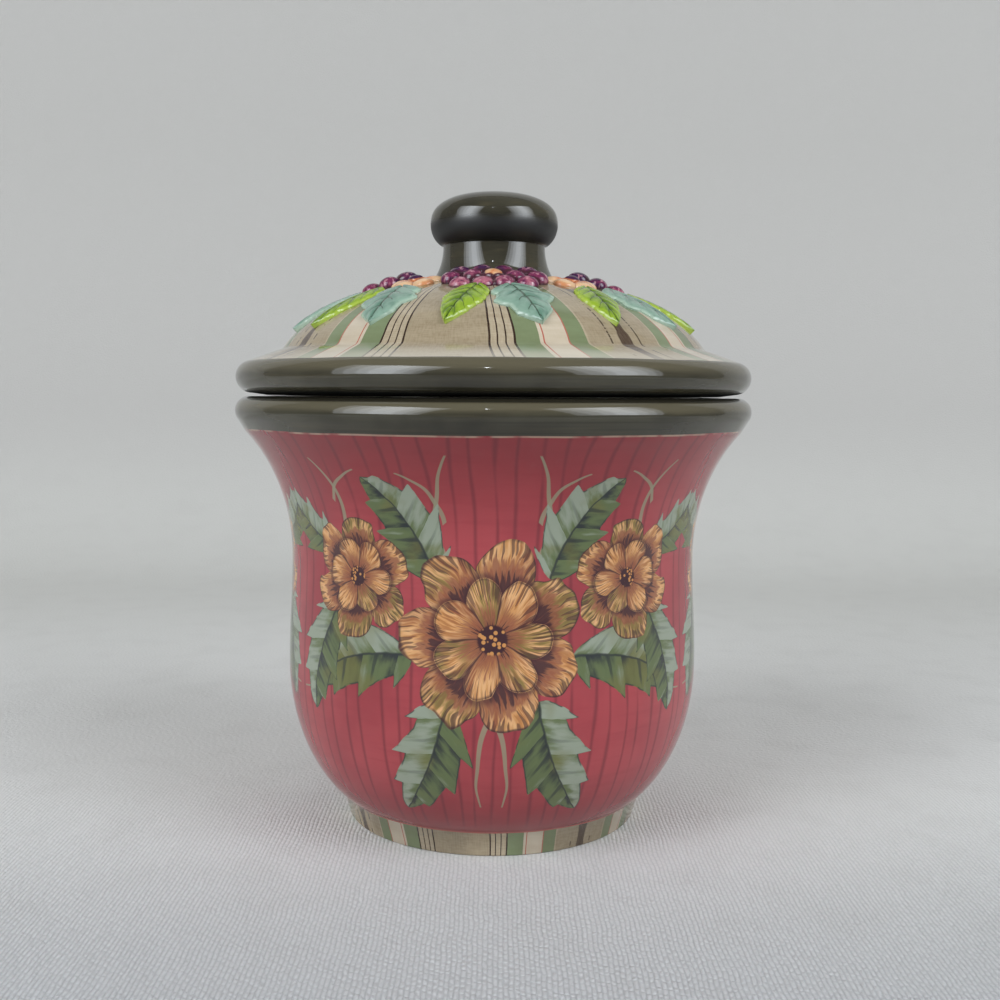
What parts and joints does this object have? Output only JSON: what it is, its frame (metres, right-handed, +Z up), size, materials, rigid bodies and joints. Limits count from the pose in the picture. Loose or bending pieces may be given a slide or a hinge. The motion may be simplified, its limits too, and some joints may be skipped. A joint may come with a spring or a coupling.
{
  "type": "sugar canister",
  "caption": "Round glazed canister with a flared mouth and full belly, a lift-off domed lid with a wreath of raised berries, leaves and blossoms, a neck-and-bulb knob, and a finned seal.",
  "frame": {"origin": "centre of the foot ring's underside, on the surface that the canister stands on", "axes": "+Z up along the canister's axis, -Y towards the decorated front"},
  "size_m": [0.15, 0.15, 0.1825],
  "materials": {
    "jar_glaze": "clear gloss over a rose ground",
    "lid_glaze": "clear gloss over taupe, sage and cream stripes",
    "knob_glaze": "dark olive gloss",
    "seal_silicone": "translucent satin silicone",
    "plum_glaze": "plum gloss",
    "lime_glaze": "lime green gloss",
    "teal_glaze": "teal green gloss",
    "peach_glaze": "peach gloss"
  },
  "bodies": {
    "jar": {"jar": "jar_glaze"},
    "seal": {"seal_ring": "seal_silicone"},
    "lid": {"lid": "lid_glaze", "knob": "knob_glaze", "berries_front": "plum_glaze", "berries_right": "plum_glaze", "berries_back": "plum_glaze", "berries_left": "plum_glaze", "lime_leaf_front": "lime_glaze", "lime_leaf_right": "lime_glaze", "lime_leaf_back": "lime_glaze", "lime_leaf_left": "lime_glaze", "teal_leaf_front": "teal_glaze", "teal_leaf_right": "teal_glaze", "teal_leaf_back": "teal_glaze", "teal_leaf_left": "teal_glaze", "lime_leaf_front_right": "lime_glaze", "teal_leaf_front_right": "teal_glaze", "lime_leaf_back_right": "lime_glaze", "teal_leaf_back_right": "teal_glaze", "lime_leaf_back_left": "lime_glaze", "teal_leaf_back_left": "teal_glaze", "lime_leaf_front_left": "lime_glaze", "teal_leaf_front_left": "teal_glaze", "blossom_front": "peach_glaze", "blossom_right": "peach_glaze", "blossom_back": "peach_glaze", "blossom_left": "peach_glaze"}
  },
  "joints": [
    {"name": "lid_lift", "type": "slide", "parent": "jar", "child": "seal", "axis": [0, 0, 1], "range_m": [0, 0.15]},
    {"name": "lid_turn", "type": "hinge", "parent": "seal", "child": "lid", "pos_m": [0, 0, 0.1238], "axis": [0, 0, 1], "continuous": true}
  ]
}
